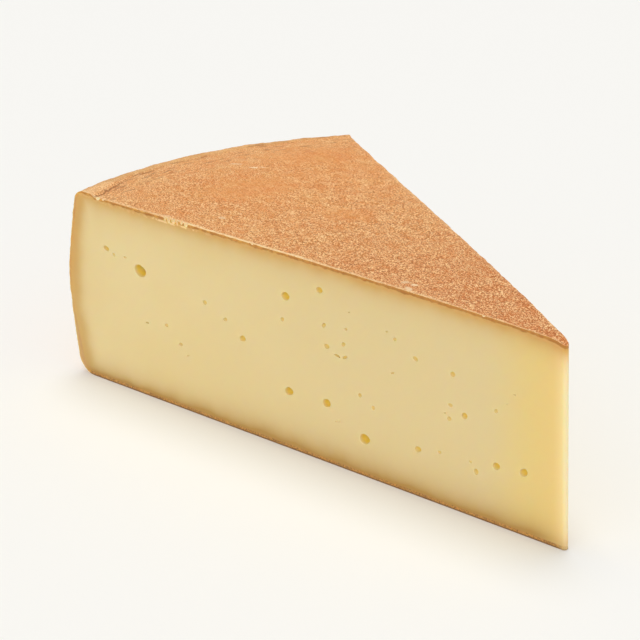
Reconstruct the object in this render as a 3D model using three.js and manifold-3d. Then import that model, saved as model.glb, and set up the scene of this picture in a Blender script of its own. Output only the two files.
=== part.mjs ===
// Vacherin fribourgeois: one wedge cut from a small washed-rind wheel, with its rind and its eyes.
// Millimetres, +Z up. The wedge stands on its flat foot, the tip towards +X, the two cuts to either
// side of +X. The origin is the middle of its bounding box, at the level of the foot.

import * as THREE from 'three';
import { mergeVertices } from 'three/addons/utils/BufferGeometryUtils.js';
import Module from 'manifold-3d';

// Driving dimensions of the wheel and of the cut
const BELLY_RADIUS = 198.8;        // widest radius of the wheel, part way up its edge
const BELLY_HEIGHT = 33;           // height of that widest place
const EDGE_DRAW_IN = 3.7;          // how much narrower the wheel is at both ends of its edge
const EDGE_CURVE = 1.7;            // how the edge rounds off: 2 is a plain bow
const WHEEL_HEIGHT = 64;           // height of the top face at the foot of the rim band
const WEDGE_ANGLE = THREE.MathUtils.degToRad(32);
const FOOT_ROUND = 4.5;            // rounding between foot and edge
const RIM_ROUND = 3.2;             // rounding between edge and top

// Relief of the top face
const TOP_CROWN = 0.7;             // the top bows up by this much, half way out
const TIP_DROOP = 0.5;             // the top falls away by this much at the tip
const TIP_DROOP_REACH = 12;
const RIM_BAND_RISE = 0.85;        // the band along the rim stands proud of the top, at the near cut
const RIM_BAND_RISE_FAR = 0.4;     // and at the far cut
const GROOVE_RADIUS = 190.5;       // crease between the top and the band
const GROOVE_BEND = 4.5;           // the crease runs inwards by this much towards the near cut
const GROOVE_DEPTH = 0.7;
const GROOVE_WIDTH = 1.5;
const GROOVE_BEND_END = -0.55;     // side at which the crease has straightened out
const GROOVE_FADE = 0.75;          // share of its depth that the crease loses towards the far cut
const GROOVE_FADE_SPAN = 0.7;      // sides, near and far, between which it loses it
const SWELL_HEIGHT = 0.16;         // slow unevenness of the rind, which dies away at the cuts
const SWELL_LENGTH = 21;
const SWELL_MARGIN = 0.12;
const SWELL_WAVES = [
  { out: 1.3, across: 0.9, start: 0 },
  { out: 0.7, across: -1.6, start: 1 },
  { out: 2.1, across: 2.3, start: 2 },
];

// Tip: a blunt nose, and a foot that reaches further out than the top
const TIP_NOSE = 1.15;
const TIP_LEAN = new THREE.Vector2(2.1, 1.7);

// Steps of the faceted skin
const NOSE_STEPS = 4;
const TOP_STEPS = 24;
const RIM_STEPS = 9;
const RIM_ZONE = 13;               // width of the finely stepped zone beside the rim
const ACROSS_STEPS = 16;
const ROUND_STEPS = 3;
const EDGE_STEPS = 5;
const SAME_PLACE = 1e-4;
const COLLAPSED_AREA = 1e-9;

// Eyes that show on the near cut: along the cut from the tip, height, length and width of the mouth,
// and how far its long side leans, in degrees
const NEAR_EYES = [
  { along: 166, up: 43.5, long: 5.3, wide: 4.0, lean: -15 },
  { along: 104.5, up: 51, long: 3.4, wide: 2.8, lean: 15 },
  { along: 91, up: 56.5, long: 2.8, wide: 2.1, lean: 20 },
  { along: 122.5, up: 32, long: 2.8, wide: 2.1, lean: 15 },
  { along: 104, up: 19.5, long: 3.6, wide: 2.9, lean: 20 },
  { along: 89, up: 20, long: 3.5, wide: 2.9, lean: 20 },
  { along: 74.5, up: 12.5, long: 4.0, wide: 3.6, lean: 5 },
  { along: 54.5, up: 15.5, long: 2.5, wide: 2.0, lean: 20 },
  { along: 26.5, up: 19, long: 2.7, wide: 2.4, lean: 50 },
  { along: 17, up: 20, long: 3.0, wide: 2.4, lean: 35 },
  { along: 33.5, up: 15, long: 2.2, wide: 1.8, lean: 90 },
  { along: 37.5, up: 31.5, long: 2.4, wide: 2.1, lean: 45 },
  { along: 41.5, up: 43.5, long: 2.1, wide: 1.8, lean: 25 },
  { along: 55, up: 44.5, long: 2.1, wide: 1.5, lean: -20 },
  { along: 89.5, up: 45.5, long: 1.9, wide: 1.5, lean: 50 },
  { along: 88.5, up: 39, long: 2.3, wide: 1.7, lean: 0 },
  { along: 82, up: 41.5, long: 1.8, wide: 1.4, lean: 35 },
  { along: 138, up: 40, long: 2.0, wide: 1.5, lean: 10 },
  { along: 129.5, up: 36.5, long: 1.8, wide: 1.4, lean: 15 },
  { along: 155, up: 27.5, long: 1.7, wide: 1.4, lean: 10 },
  { along: 149, up: 22.5, long: 1.8, wide: 1.3, lean: 5 },
  { along: 181, up: 47.5, long: 2.6, wide: 1.8, lean: -15 },
  { along: 177.5, up: 46, long: 1.6, wide: 1.2, lean: -50 },
  { along: 106, up: 43, long: 1.6, wide: 1.3, lean: 65 },
  { along: 76, up: 26.5, long: 1.7, wide: 1.5, lean: 65 },
  { along: 71, up: 24, long: 1.6, wide: 1.3, lean: -50 },
  { along: 62.5, up: 48.5, long: 1.5, wide: 1.2, lean: 40 },
  { along: 42.5, up: 33.5, long: 1.8, wide: 1.2, lean: 0 },
  { along: 43, up: 29, long: 1.5, wide: 1.3, lean: 30 },
  { along: 26.5, up: 36.5, long: 1.4, wide: 1.2, lean: 90 },
  { along: 46.5, up: 17, long: 1.5, wide: 1.3, lean: 25 },
  { along: 84.5, up: 37, long: 2.6, wide: 0.9, lean: -10 },
  { along: 81.5, up: 37.3, long: 2.4, wide: 1.0, lean: 25 },
];

// Eyes of the far cut, scattered by rule in the same mix of sizes
const FAR_EYE_COUNT = 26;
const FAR_EYE_SEED = 7;
const EYE_SMALLEST = 1.5;
const EYE_LARGEST = 4.8;
const EYE_SIZE_BIAS = 3;           // the higher, the fewer large eyes
const EYE_NARROWEST = 0.7;         // width as a share of length
const EYE_ROUNDEST = 0.95;
const EYE_LEAN_FROM = -30;
const EYE_LEAN_TO = 60;
const EYE_CLEAR_OF_RIND = 8;
const EYE_SINK = 0.25;             // how far an eye's middle lies behind the cut, in eye depths
const FINE_EYE = 2;                // eyes longer than this are rounder

const HALF_ANGLE = WEDGE_ANGLE / 2;
const TANGENT_RADIUS = TIP_NOSE / Math.tan(HALF_ANGLE);
const NOSE_CENTRE = TIP_NOSE / Math.sin(HALF_ANGLE);

const wasm = await Module();
wasm.setup();

function smoothStep(from, to, value) {
  const share = THREE.MathUtils.clamp((value - from) / (to - from), 0, 1);
  return share * share * (3 - 2 * share);
}

// Radius of the wheel's edge at a height, before its two ends are rounded over
function bellyRadius(height) {
  const reach = Math.max(BELLY_HEIGHT, WHEEL_HEIGHT - BELLY_HEIGHT);
  const share = Math.abs(height - BELLY_HEIGHT) / reach;
  return BELLY_RADIUS - EDGE_DRAW_IN * share ** EDGE_CURVE;
}

// Side is -1 at the near cut and +1 at the far cut
function rimBandRise(side) {
  return THREE.MathUtils.lerp(RIM_BAND_RISE, RIM_BAND_RISE_FAR, (side + 1) / 2);
}

function slowSwell(radius, side) {
  const out = radius / SWELL_LENGTH;
  const across = out * side * HALF_ANGLE;
  const waves = SWELL_WAVES.map((wave) => Math.sin(out * wave.out + across * wave.across + wave.start));
  const beyondTip = smoothStep(TIP_DROOP_REACH, 4 * TIP_DROOP_REACH, radius);
  const inFromCuts = smoothStep(0, SWELL_MARGIN, 1 - Math.abs(side));
  return SWELL_HEIGHT * beyondTip * inFromCuts * waves.reduce((sum, wave) => sum + wave, 0);
}

// Radius of the crease between the top and the band along the rim
function creaseRadius(side) {
  return GROOVE_RADIUS - GROOVE_BEND * (1 - smoothStep(-1, GROOVE_BEND_END, side));
}

// Height of the top face at a radius, from the near cut to the far cut
function topHeight(radius, side) {
  const out = radius / BELLY_RADIUS;
  const crown = TOP_CROWN * 4 * out * (1 - out);
  const droop = TIP_DROOP * Math.exp(-((radius / TIP_DROOP_REACH) ** 2));
  const crease = creaseRadius(side);
  const fade = 1 - GROOVE_FADE * smoothStep(-GROOVE_FADE_SPAN, GROOVE_FADE_SPAN, side);
  const groove = GROOVE_DEPTH * fade * Math.exp(-(((radius - crease) / GROOVE_WIDTH) ** 2));
  const band = rimBandRise(side) * smoothStep(crease - GROOVE_WIDTH, crease + 2 * GROOVE_WIDTH, radius);
  return WHEEL_HEIGHT + crown - droop - groove + band + slowSwell(radius, side);
}

// The edge of the wheel as rows of radius and share of the height, from the foot up to the top
function edgeRows() {
  const rows = [];
  for (let step = 0; step < ROUND_STEPS; step += 1) {
    const turn = Math.PI / 2 * (1 - step / ROUND_STEPS);
    const up = FOOT_ROUND * (1 - Math.sin(turn));
    rows.push({ radius: bellyRadius(up) - FOOT_ROUND * (1 - Math.cos(turn)), share: up / WHEEL_HEIGHT });
  }
  const straight = WHEEL_HEIGHT - FOOT_ROUND - RIM_ROUND;
  for (let step = 0; step <= EDGE_STEPS; step += 1) {
    const up = FOOT_ROUND + straight * step / EDGE_STEPS;
    rows.push({ radius: bellyRadius(up), share: up / WHEEL_HEIGHT });
  }
  for (let step = 1; step <= ROUND_STEPS; step += 1) {
    const turn = Math.PI / 2 * step / ROUND_STEPS;
    const up = WHEEL_HEIGHT - RIM_ROUND * (1 - Math.sin(turn));
    rows.push({ radius: bellyRadius(up) - RIM_ROUND * (1 - Math.cos(turn)), share: up / WHEEL_HEIGHT });
  }
  return rows;
}

// Stations from the tip out to the rim: steps round the nose, then along the cut
function stations(rimRadius) {
  const list = [];
  for (let step = 0; step < NOSE_STEPS; step += 1) {
    const turn = (Math.PI / 2 - HALF_ANGLE) * step / NOSE_STEPS;
    const out = NOSE_CENTRE - TIP_NOSE * Math.cos(turn);
    list.push({ out, half: TIP_NOSE * Math.sin(turn) });
  }
  const zoneStart = rimRadius - RIM_ZONE;
  for (let step = 0; step < TOP_STEPS; step += 1) {
    list.push({ radius: THREE.MathUtils.lerp(TANGENT_RADIUS, zoneStart, step / TOP_STEPS) });
  }
  for (let step = 0; step <= RIM_STEPS; step += 1) {
    list.push({ radius: THREE.MathUtils.lerp(zoneStart, rimRadius, step / RIM_STEPS) });
  }
  return list;
}

// A point of the skin: station from the tip outwards, side from -1 to +1, row from foot to top
function skinPoint(station, side, row, rimRadius) {
  const stretch = row.radius / rimRadius;
  const radius = station.radius ?? station.out;
  const height = row.share * topHeight(radius, side);
  const lean = (1 - row.share) * (1 - radius / rimRadius);
  let out = station.out;
  let across = station.half * side;
  if (station.radius !== undefined) {
    out = radius * stretch * Math.cos(HALF_ANGLE * side);
    across = radius * stretch * Math.sin(HALF_ANGLE * side);
  }
  return new THREE.Vector3(-out + TIP_LEAN.x * lean, across + TIP_LEAN.y * lean, height);
}

// Two triangles for each cell of a grid of points; reversed turns the cells over
function addGrid(triangles, grid, reversed) {
  for (let i = 0; i + 1 < grid.length; i += 1) {
    for (let j = 0; j + 1 < grid[i].length; j += 1) {
      const corners = [grid[i][j], grid[i + 1][j], grid[i + 1][j + 1], grid[i][j + 1]];
      if (reversed) corners.reverse();
      triangles.push([corners[0], corners[1], corners[2]], [corners[0], corners[2], corners[3]]);
    }
  }
}

function addFan(triangles, loop, centre) {
  loop.forEach((point, index) => {
    triangles.push([centre, point, loop[(index + 1) % loop.length]]);
  });
}

// A closed mesh from loose triangles: shared points merged, and collapsed triangles left out
function closedGeometry(triangles) {
  const whole = triangles.filter(([a, b, c]) => {
    const area = new THREE.Triangle(a, b, c).getArea();
    return area > COLLAPSED_AREA;
  });
  const loose = new THREE.BufferGeometry().setFromPoints(whole.flat());
  return mergeVertices(loose, SAME_PLACE);
}

function solidFrom(geometry) {
  const bare = geometry.clone();
  bare.deleteAttribute('normal');
  bare.deleteAttribute('uv');
  const merged = mergeVertices(bare, SAME_PLACE);
  return new wasm.Manifold(new wasm.Mesh({
    numProp: 3,
    vertProperties: new Float32Array(merged.attributes.position.array),
    triVerts: new Uint32Array(merged.index.array),
  }));
}

function geometryFrom(solid) {
  const mesh = solid.getMesh();
  const geometry = new THREE.BufferGeometry();
  geometry.setAttribute('position', new THREE.BufferAttribute(mesh.vertProperties, 3));
  geometry.setIndex(new THREE.BufferAttribute(mesh.triVerts, 1));
  return geometry;
}

// The whole wedge before its eyes are taken out
function wedgeSkin() {
  const rows = edgeRows();
  const rimRadius = rows.at(-1).radius;
  const list = stations(rimRadius);
  const sides = Array.from({ length: ACROSS_STEPS + 1 }, (_, step) => 2 * step / ACROSS_STEPS - 1);
  const foot = rows[0];
  const top = rows.at(-1);
  const point = (station, side, row) => skinPoint(station, side, row, rimRadius);
  const triangles = [];

  addGrid(triangles, list.map((station) => sides.map((side) => point(station, side, top))), true);
  addGrid(triangles, sides.map((side) => rows.map((row) => point(list.at(-1), side, row))), true);
  addGrid(triangles, list.map((station) => rows.map((row) => point(station, -1, row))), true);
  addGrid(triangles, list.map((station) => rows.map((row) => point(station, 1, row))), false);

  const nearFoot = list.map((station) => point(station, -1, foot));
  const rimFoot = sides.slice(1, -1).map((side) => point(list.at(-1), side, foot));
  const farFoot = list.slice(1).map((station) => point(station, 1, foot)).reverse();
  const middle = new THREE.Vector3(-rimRadius * 2 / 3, 0, 0);
  addFan(triangles, [...nearFoot, ...rimFoot, ...farFoot], middle);
  return closedGeometry(triangles);
}

// An eye as an egg-shaped hollow whose mouth opens on a cut
function eyeGeometry(eye, side) {
  const depth = (eye.long + eye.wide) / 4;
  const mouth = Math.sqrt(1 - EYE_SINK ** 2);
  const detail = eye.long > FINE_EYE ? 1 : 0;
  const geometry = new THREE.IcosahedronGeometry(1, detail);
  geometry.scale(eye.long / 2 / mouth, depth, eye.wide / 2 / mouth);
  geometry.rotateY(THREE.MathUtils.degToRad(eye.lean) * side);
  geometry.translate(-eye.along, -side * EYE_SINK * depth, eye.up);
  geometry.rotateZ(-side * HALF_ANGLE);
  const lean = (1 - eye.up / WHEEL_HEIGHT) * (1 - eye.along / BELLY_RADIUS);
  geometry.translate(TIP_LEAN.x * lean, TIP_LEAN.y * lean, 0);
  return geometry;
}

// Seeded random numbers from 0 to 1
function seededDraw(seed) {
  let state = seed;
  return () => {
    state = (state * 1664525 + 1013904223) % 4294967296;
    return state / 4294967296;
  };
}

// Many small eyes and few large ones, clear of the rind and of each other
function scatteredEyes() {
  const draw = seededDraw(FAR_EYE_SEED);
  const eyes = [];
  while (eyes.length < FAR_EYE_COUNT) {
    const alongEnd = BELLY_RADIUS - 2 * EYE_CLEAR_OF_RIND;
    const along = THREE.MathUtils.lerp(2 * EYE_CLEAR_OF_RIND, alongEnd, draw());
    const up = THREE.MathUtils.lerp(EYE_CLEAR_OF_RIND, WHEEL_HEIGHT - EYE_CLEAR_OF_RIND, draw());
    const long = THREE.MathUtils.lerp(EYE_SMALLEST, EYE_LARGEST, draw() ** EYE_SIZE_BIAS);
    const wide = long * THREE.MathUtils.lerp(EYE_NARROWEST, EYE_ROUNDEST, draw());
    const lean = THREE.MathUtils.lerp(EYE_LEAN_FROM, EYE_LEAN_TO, draw());
    const clear = eyes.every((other) => Math.hypot(other.along - along, other.up - up) > other.long + long);
    if (clear) eyes.push({ along, up, long, wide, lean });
  }
  return eyes;
}

function cheeseWedge() {
  let solid = solidFrom(wedgeSkin());
  for (const eye of NEAR_EYES) solid = solid.subtract(solidFrom(eyeGeometry(eye, -1)));
  for (const eye of scatteredEyes()) solid = solid.subtract(solidFrom(eyeGeometry(eye, 1)));
  const geometry = geometryFrom(solid);
  geometry.computeBoundingBox();
  const middle = geometry.boundingBox.getCenter(new THREE.Vector3());
  geometry.translate(-middle.x, -middle.y, 0);
  geometry.computeVertexNormals();
  const material = new THREE.MeshStandardMaterial({ color: 0xe6cf97, roughness: 0.55, metalness: 0 });
  const mesh = new THREE.Mesh(geometry, material);
  mesh.name = 'cheese_wedge';
  return mesh;
}

const vacherin = new THREE.Group();
vacherin.add(cheeseWedge());

export default vacherin;
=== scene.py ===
"""A wedge of vacherin fribourgeois on a pale table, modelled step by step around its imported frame."""

import math

import bmesh
import bpy
from bpy.props import FloatProperty, FloatVectorProperty, IntProperty, PointerProperty
from mathutils import Matrix, Vector


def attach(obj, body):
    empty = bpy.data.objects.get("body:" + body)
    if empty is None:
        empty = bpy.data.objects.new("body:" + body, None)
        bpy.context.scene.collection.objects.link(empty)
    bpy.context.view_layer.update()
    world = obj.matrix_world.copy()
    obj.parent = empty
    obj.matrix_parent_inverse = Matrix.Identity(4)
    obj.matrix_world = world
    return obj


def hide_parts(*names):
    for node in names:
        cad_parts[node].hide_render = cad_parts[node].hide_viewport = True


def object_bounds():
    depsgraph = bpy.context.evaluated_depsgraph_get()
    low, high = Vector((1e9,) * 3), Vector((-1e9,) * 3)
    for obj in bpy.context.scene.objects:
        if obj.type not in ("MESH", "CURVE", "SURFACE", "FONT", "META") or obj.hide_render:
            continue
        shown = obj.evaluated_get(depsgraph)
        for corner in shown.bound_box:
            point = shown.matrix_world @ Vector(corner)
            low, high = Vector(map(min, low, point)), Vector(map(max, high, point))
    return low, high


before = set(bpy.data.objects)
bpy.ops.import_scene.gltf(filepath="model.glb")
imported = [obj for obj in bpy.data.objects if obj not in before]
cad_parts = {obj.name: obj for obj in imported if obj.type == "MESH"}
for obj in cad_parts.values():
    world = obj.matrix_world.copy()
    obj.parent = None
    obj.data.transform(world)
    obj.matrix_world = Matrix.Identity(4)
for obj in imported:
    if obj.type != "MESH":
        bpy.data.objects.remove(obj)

bl_info = {
    "name": "Vacherin wedge",
    "version": (1, 0, 0),
    "blender": (4, 5, 0),
    "location": "3D View > Sidebar > Vacherin",
    "description": "Models a cut wedge of washed-rind cheese with its rind, paste and eyes",
    "category": "Add Mesh",
}

MM = 0.001
NODE = "cheese_wedge"
CAD_LOW, CAD_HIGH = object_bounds()

# Material slots of the wedge, in order
RIND, PASTE, EYE, CHIP = range(4)
FINISHES = ("washed rind", "cheese paste", "eye lining", "crumbled edge")

# Eyes of the near cut: along the cut from the tip, height, length and width of the mouth, all in
# millimetres, and the lean of the long side in degrees
NEAR_EYES = [
    (166, 43.5, 5.3, 4.0, -15), (104.5, 51, 3.4, 2.8, 15), (91, 56.5, 2.8, 2.1, 20),
    (122.5, 32, 2.8, 2.1, 15), (104, 19.5, 3.6, 2.9, 20), (89, 20, 3.5, 2.9, 20),
    (74.5, 12.5, 4.0, 3.6, 5), (54.5, 15.5, 2.5, 2.0, 20), (26.5, 19, 2.7, 2.4, 50),
    (17, 20, 3.0, 2.4, 35), (33.5, 15, 2.2, 1.8, 90), (37.5, 31.5, 2.4, 2.1, 45),
    (41.5, 43.5, 2.1, 1.8, 25), (55, 44.5, 2.1, 1.5, -20), (89.5, 45.5, 1.9, 1.5, 50),
    (88.5, 39, 2.3, 1.7, 0), (82, 41.5, 1.8, 1.4, 35), (138, 40, 2.0, 1.5, 10),
    (129.5, 36.5, 1.8, 1.4, 15), (155, 27.5, 1.7, 1.4, 10), (149, 22.5, 1.8, 1.3, 5),
    (181, 47.5, 2.6, 1.8, -15), (177.5, 46, 1.6, 1.2, -50), (106, 43, 1.6, 1.3, 65),
    (76, 26.5, 1.7, 1.5, 65), (71, 24, 1.6, 1.3, -50), (62.5, 48.5, 1.5, 1.2, 40),
    (42.5, 33.5, 1.8, 1.2, 0), (43, 29, 1.5, 1.3, 30), (26.5, 36.5, 1.4, 1.2, 90),
    (46.5, 17, 1.5, 1.3, 25), (84.5, 37, 2.6, 0.9, -10), (81.5, 37.3, 2.4, 1.0, 25),
]

# Pinholes and slits of the near cut, too small for the solid, listed like the eyes
NEAR_PITS = [
    (163.5, 26, 1.8, 0.8, 5), (172.5, 46.5, 1.5, 0.8, -5), (81, 46.5, 1.2, 1.0, 0),
    (79.5, 52.5, 1.0, 0.5, 25), (63.5, 37.5, 1.7, 0.65, 30), (35.5, 17.5, 1.1, 1.0, 0),
    (146, 19.5, 1.3, 0.5, 30), (85.5, 15, 1.1, 0.5, 20), (84, 15.5, 0.9, 0.5, -20),
    (20, 43.5, 1.0, 0.6, 10), (22.5, 40, 0.9, 0.5, 40), (65.5, 50, 1.0, 0.5, 25),
    (44.5, 30.5, 1.0, 0.5, 10),
]

# Crumbled places of the near cut's top edge: along the cut from the tip, length, and depth, in
# millimetres
CHIPS = [
    (184.0, 1.7, 0.9), (181.6, 0.9, 0.6), (153.9, 1.0, 0.9), (152.4, 1.2, 1.3), (150.3, 1.7, 1.1),
    (148.7, 0.7, 1.4), (146.9, 1.1, 0.7), (145.0, 1.6, 1.0), (117.4, 0.9, 0.5), (30.5, 0.9, 0.5),
]

# Marks on the rind: place from the wheel's axis, along X with the rim at -X, and towards the far cut,
# half length, half width, all in millimetres, turn of the long side in degrees, and how pale it is
SCRATCHES = [
    (-172.1, 5.6, 1.8, 0.5, 52, 0.95), (-178.3, 2.6, 2.4, 1.2, 56, 0.45), (-170.9, 8.5, 1.3, 0.7, 40, 0.5),
    (-137.5, -27.9, 1.4, 1.1, 0, 0.6), (-61.3, -12.3, 1.7, 1.2, 56, 0.6), (-58.2, -11.2, 1.1, 1.1, 0, 0.95),
    (-56.5, -14.6, 2.0, 1.1, -16, 0.75), (-149, -41, 2.0, 0.8, 20, 0.4),
]

# Places where the rind's grain is calmer, listed like the marks but without the paleness
SMOOTH_PATCHES = [(-155.8, -7.8, 20, 11, 75), (-172, 30, 18, 12, 60), (-118, 6, 12, 7, 30)]

# Side, from -1 at the near cut to 1 at the far cut, at which the crease is back at its own radius
CREASE_BENT_TO = -0.55


def length(name, description, default):
    return FloatProperty(name=name, description=description, default=default, unit="LENGTH")


def shade(name, description, default):
    return FloatVectorProperty(name=name, description=description, default=default, subtype="COLOR")


class WheelSizes(bpy.types.PropertyGroup):
    """Driving sizes of the wheel and of the cut, in metres."""

    belly: length("Belly radius", "Widest radius of the wheel", 198.8 * MM)
    belly_height: length("Belly height", "Height of the widest place", 33 * MM)
    draw_in: length("Draw in at the top", "How much narrower the edge is at the top", 5.3 * MM)
    draw_in_foot: length("Draw in at the foot", "How much narrower the edge is at the foot", 4.5 * MM)
    edge_curve: FloatProperty(
        name="Edge curve", description="How the edge rounds off, 2 is a plain bow", default=1.7)
    height: length("Height", "Height of the top face", 64 * MM)
    angle: FloatProperty(
        name="Cut angle", description="Angle between the two cuts", default=math.radians(32),
        subtype="ANGLE")
    foot_round: length("Foot rounding", "Rounding between foot and edge", 5 * MM)
    rim_round: length("Rim rounding", "Rounding between edge and top", 3 * MM)
    nose: length("Tip nose", "Radius of the blunt tip", 1.15 * MM)
    lean_out: length("Tip lean out", "How far the tip's foot reaches beyond its top", 2.1 * MM)
    lean_across: length("Tip lean across", "How far the tip's foot lies towards the far cut", 1.7 * MM)


class ReliefSizes(bpy.types.PropertyGroup):
    """Heights and depths of what stands out of the rind or is pressed into it, in metres."""

    crown: length("Crown", "Rise of the top between tip and rim", 0.9 * MM)
    crown_lean: FloatProperty(
        name="Crown lean", description="Below 1 the crown lies nearer to the tip", default=0.7)
    droop: length("Droop", "Fall of the top at the tip", 2 * MM)
    droop_reach: length("Droop reach", "How far from the axis the top falls", 4.2 * MM)
    band: length("Band", "Rise of the band along the rim", 0.7 * MM)
    band_far: FloatProperty(
        name="Band at the far cut", description="Share of that rise left at the far cut", default=0.47)
    rim_rise: length("Rim rise", "Rise of the rim half way from cut to cut", 0.9 * MM)
    rim_bulge: length("Rim bulge", "How far the edge stands out half way from cut to cut", 1.5 * MM)
    crease: length("Crease", "Depth of the crease beside the band", 0.55 * MM)
    crease_radius: length("Crease radius", "Radius at which the crease runs", 190 * MM)
    crease_bend: length("Crease bend", "How far the crease runs in at the near cut", 4.5 * MM)
    crease_width: length("Crease width", "Half width of the crease", 1.1 * MM)
    swell: length("Swell", "Slow unevenness of the rind", 0.5 * MM)
    crumb: length("Crumb", "Lumps of the rind", 0.35 * MM)
    grain: length("Grain", "Fine grain of the rind", 0.25 * MM)


class MeshSteps(bpy.types.PropertyGroup):
    """How finely the wedge is stepped."""

    round: IntProperty(name="Rounds", description="Steps round a rounded corner", default=6)
    edge: IntProperty(name="Edge", description="Steps up the wheel's edge", default=64)
    top: IntProperty(name="Top", description="Steps along the top from tip to rim", default=250)
    foot: IntProperty(name="Foot", description="Steps along the foot from tip to rim", default=30)
    turn: IntProperty(name="Turn", description="Steps from cut to cut", default=170)
    nose: IntProperty(name="Nose", description="Steps round the tip", default=12)
    cell: length("Cell", "Width of a cell of the cut faces", 5 * MM)


class FinishColours(bpy.types.PropertyGroup):
    """Base colours, as linear red, green and blue."""

    rind: shade("Rind", "Main colour of the rind", (0.80, 0.302, 0.073))
    rind_light: shade("Rind flecks", "Light flecks of the rind", (1.0, 0.675, 0.33))
    rind_dark: shade("Rind specks", "Dark specks of the rind", (0.34, 0.12, 0.026))
    rim: shade("Rim", "The outermost ring of the top", (0.60, 0.30, 0.088))
    scratch: shade("Scratch", "Pale rubbed marks on the rind", (0.95, 0.70, 0.42))
    paste: shade("Paste", "Main colour of the paste", (0.795, 0.645, 0.33))
    under_rind: shade("Under the rind", "Paste close below the rind", (0.64, 0.385, 0.115))
    # The paste's own darker colour over the foot, mixed with painted shade from the table's shadow
    over_foot_and_shade: shade("Over the foot", "Paste close over the foot", (0.51, 0.302, 0.080))
    cut_rind: shade("Cut rind", "The top's rind where it is cut through", (0.40, 0.18, 0.034))
    cut_heel: shade("Cut heel", "The edge's rind where it is cut through", (0.57, 0.30, 0.09))
    cut_foot: shade("Cut foot", "The foot's rind where it is cut through", (0.51, 0.256, 0.066))
    # Dark rind of the lowest line, darkened further as painted contact shadow where the wedge meets the
    # table
    sole_and_contact_shadow: shade("Sole", "The lowest line of the cut", (0.19, 0.09, 0.035))
    inner_paste: shade("Inner paste", "Paste towards the wheel's middle", (0.76, 0.615, 0.32))
    # Painted glow of light through the thin tip: golden towards it, brighter at the tip, and a painted
    # highlight on its pale round end
    tip_golden_glow: shade("Tip", "Paste close to the thin tip", (0.80, 0.62, 0.24))
    tip_glow: shade("Tip glow", "Paste of the tip itself, which lets light through", (0.88, 0.715, 0.37))
    tip_end: shade("Tip end", "The pale round end of the tip", (0.96, 0.735, 0.46))
    crumb: shade("Crumb", "Light crumbs under the top's cut rind", (0.94, 0.71, 0.39))
    # Golden lining of the eyes: painted light through the paste, and darker deep inside as painted shade in
    # the hollow
    eye: shade("Eye", "Lining of the eyes", (0.76, 0.53, 0.065))
    chip: shade("Chip", "Pale side of the crumbled places", (0.84, 0.70, 0.42))
    chip_dark: shade("Dark chip", "Dark side of the crumbled places", (0.80, 0.58, 0.29))
    table: shade("Table", "Colour of the table", (0.903, 0.894, 0.862))


def sizes():
    return bpy.context.scene.vacherin_wheel


def relief():
    return bpy.context.scene.vacherin_relief


def steps():
    return bpy.context.scene.vacherin_steps


def colours():
    return bpy.context.scene.vacherin_colours


def axis_x():
    """Where the wheel's axis stands: the belly reaches the low end of the frame's box."""
    return CAD_LOW.x + sizes().belly


def smooth_step(start, end, value):
    share = min(max((value - start) / (end - start), 0), 1)
    return share * share * (3 - 2 * share)


def go_to(mode):
    bpy.ops.object.mode_set(mode=mode)


def deselect():
    if bpy.context.object and bpy.context.object.mode != "OBJECT":
        go_to("OBJECT")
    bpy.ops.object.select_all(action="DESELECT")


def make_active(piece):
    deselect()
    piece.select_set(True)
    bpy.context.view_layer.objects.active = piece


def pick(piece, domain, test):
    """In edit mode, selects only the vertices, edges or faces that pass the test."""
    bpy.ops.mesh.select_mode(type={"verts": "VERT", "edges": "EDGE", "faces": "FACE"}[domain])
    bpy.ops.mesh.select_all(action="DESELECT")
    mesh = bmesh.from_edit_mesh(piece.data)
    for item in getattr(mesh, domain):
        if test(item):
            item.select_set(True)
    bmesh.update_edit_mesh(piece.data)


def lies_on(edge, place, value, slack=1e-6):
    """True if both ends of an edge have the given value of a measure."""
    return all(abs(place(corner.co) - value) < slack for corner in edge.verts)


def set_mask(piece, name, weight):
    """A vertex group whose weights come from a function of the vertex."""
    group = piece.vertex_groups.new(name=name)
    for vertex in piece.data.vertices:
        share = weight(vertex)
        if share > 0:
            group.add([vertex.index], min(share, 1), "REPLACE")
    return group


def displace(piece, mask, strength, direction, texture=None):
    """Moves the masked skin by a strength in metres, evenly, or to and fro by a texture."""
    make_active(piece)
    layer = piece.modifiers.new(mask, "DISPLACE")
    layer.vertex_group = mask
    layer.strength = strength
    layer.direction = direction
    layer.mid_level = 0
    if texture:
        layer.mid_level = 0.5
        layer.texture = texture
        layer.texture_coords = "LOCAL"
    bpy.ops.object.modifier_apply(modifier=layer.name)


def cloud_texture(name, size, depth):
    cloud = bpy.data.textures.new(name, "CLOUDS")
    cloud.noise_scale = size
    cloud.noise_depth = depth
    return cloud


def set_along(piece, place, ways):
    """Sets a piece at a place, its X, Y and Z laid along three ways and stretched to their lengths."""
    piece.matrix_world = Matrix.Translation(place) @ Matrix(ways).transposed().to_4x4()
    make_active(piece)
    bpy.ops.object.transform_apply(location=True, rotation=True, scale=True)


def give_finishes(piece, slot):
    """Gives a piece the wedge's material slots, and all its faces one of them."""
    for name in FINISHES:
        piece.data.materials.append(bpy.data.materials[name])
    for face in piece.data.polygons:
        face.material_index = slot


def radius_at(point):
    return math.hypot(point.x - axis_x(), point.y)


def side_at(point):
    """-1 at the near cut, +1 at the far cut."""
    return math.atan2(point.y, axis_x() - point.x) / (sizes().angle / 2)


def nose_start():
    """Radius at which the flat cuts end and the tip's rounding begins."""
    return sizes().nose / math.tan(sizes().angle / 2)


def top_reach():
    """Radius at which the top ends and the rim's rounding begins."""
    return sizes().belly - sizes().draw_in - sizes().rim_round


def belly_reach():
    """The longer way from the belly to the foot or the top."""
    return max(sizes().belly_height, sizes().height - sizes().belly_height)


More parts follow.
